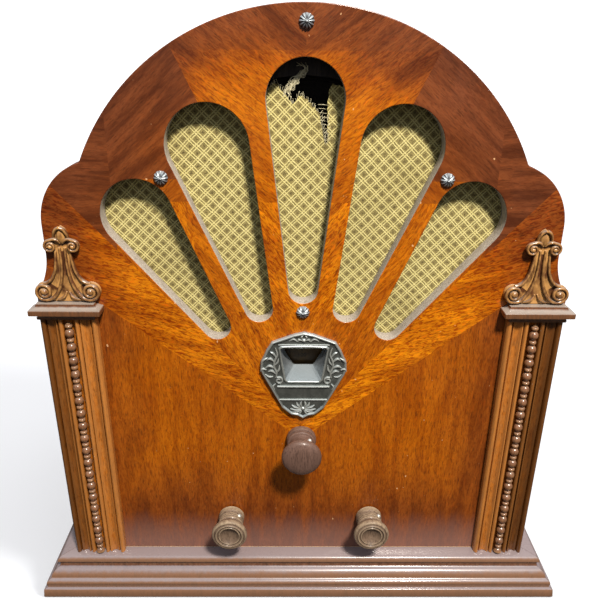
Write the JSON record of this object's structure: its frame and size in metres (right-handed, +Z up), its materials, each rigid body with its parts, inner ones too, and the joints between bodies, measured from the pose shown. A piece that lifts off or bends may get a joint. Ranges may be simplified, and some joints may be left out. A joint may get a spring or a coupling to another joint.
{
  "type": "cathedral radio",
  "caption": "Arched wooden table radio with fan-shaped sound openings, a dial window, turning knobs and a working tuning drive behind an open back.",
  "frame": {"origin": "centre of the base's underside", "axes": "+Z up, front panel towards -Y, +X to the right seen from the front"},
  "size_m": [0.424, 0.271, 0.452],
  "materials": {
    "walnut_veneer": "toned lacquer, satin gloss",
    "turned_dark_wood": "dark toned lacquer, satin",
    "bare_plywood": "raw",
    "oxidised_casting": "antique plated die casting",
    "dark_knob_wood": "polished dark lacquer",
    "light_knob_wood": "worn lacquer",
    "plated_steel": "cadmium plated",
    "chassis_steel": "dull plated sheet",
    "gang_aluminium": "rolled sheet",
    "can_aluminium": "spun",
    "brass": "satin",
    "dial_film": "printed translucent film",
    "lamp_glass": "clear",
    "tube_glass": "clear",
    "tube_base_bakelite": "moulded",
    "black_enamel": "baked enamel",
    "grommet_rubber": "matt",
    "grille_fabric": "woven lattice",
    "cone_paper": "felted paper"
  },
  "bodies": {
    "cabinet": {"front_panel": "walnut_veneer", "cabinet_wrap": "walnut_veneer", "pilaster_left": "walnut_veneer", "pilaster_right": "walnut_veneer", "base_moulding_front": "turned_dark_wood", "base_moulding_left": "turned_dark_wood", "base_moulding_right": "turned_dark_wood", "bead_string_left": "turned_dark_wood", "bead_string_right": "turned_dark_wood", "capital_left": "turned_dark_wood", "capital_right": "turned_dark_wood", "finial_left": "turned_dark_wood", "finial_right": "turned_dark_wood", "base_board": "bare_plywood", "speaker_baffle": "bare_plywood", "escutcheon": "oxidised_casting", "rosette_screw_top": "oxidised_casting", "rosette_screw_left": "oxidised_casting", "rosette_screw_right": "oxidised_casting", "rosette_screw_bottom": "oxidised_casting", "volume_control": "plated_steel", "tone_switch": "plated_steel", "tuning_bracket": "plated_steel", "lamp_bracket": "brass", "chassis": "chassis_steel", "tube_shield_front": "chassis_steel", "tube_shield_back": "chassis_steel", "condenser_frame": "gang_aluminium", "condenser_stator": "gang_aluminium", "coil_can_left": "can_aluminium", "coil_can_right": "can_aluminium", "filter_can_front": "can_aluminium", "filter_can_back": "can_aluminium", "dial_lamp": "lamp_glass", "rectifier_tube_glass": "tube_glass", "output_tube_glass": "tube_glass", "detector_tube_glass": "tube_glass", "rectifier_tube_base": "tube_base_bakelite", "output_tube_base": "tube_base_bakelite", "detector_tube_base": "tube_base_bakelite", "power_transformer": "black_enamel", "speaker_basket": "black_enamel", "field_coil_pot": "black_enamel", "output_transformer": "black_enamel", "lead_grommet": "grommet_rubber", "grille_cloth": "grille_fabric"},
    "tuning_gang": {"condenser_rotor": "gang_aluminium", "drive_disc": "brass", "dial_scale": "dial_film"},
    "tuning_knob": {"knob_tuning": "dark_knob_wood", "set_screw_tuning": "plated_steel", "tuning_shaft": "brass"},
    "volume_knob": {"knob_volume": "light_knob_wood", "set_screw_volume": "plated_steel", "volume_shaft": "plated_steel"},
    "tone_knob": {"knob_tone": "light_knob_wood", "set_screw_tone": "plated_steel", "tone_shaft": "plated_steel"},
    "cone": {"speaker_cone": "cone_paper"}
  },
  "joints": [
    {"name": "gang_turn", "type": "hinge", "parent": "cabinet", "child": "tuning_gang", "pos_m": [0, -0.048, 0.182], "axis": [0, 1, 0], "range_deg": [0, 180]},
    {"name": "tuning_turn", "type": "hinge", "parent": "cabinet", "child": "tuning_knob", "pos_m": [0, -0.118, 0.143], "axis": [0, 1, 0], "range_deg": [-1580, 0]},
    {"name": "volume_turn", "type": "hinge", "parent": "cabinet", "child": "volume_knob", "pos_m": [-0.0565, -0.118, 0.066], "axis": [0, 1, 0], "range_deg": [0, 300]},
    {"name": "tone_turn", "type": "hinge", "parent": "cabinet", "child": "tone_knob", "pos_m": [0.0565, -0.118, 0.066], "axis": [0, 1, 0], "range_deg": [0, 90]},
    {"name": "cone_travel", "type": "slide", "parent": "cabinet", "child": "cone", "axis": [0, 1, 0], "range_m": [-0.001, 0.001], "stiffness_N_per_m": 2000}
  ],
  "couplings": [
    {"joint": "tuning_turn", "follows": "gang_turn", "ratio": -8.75}
  ]
}
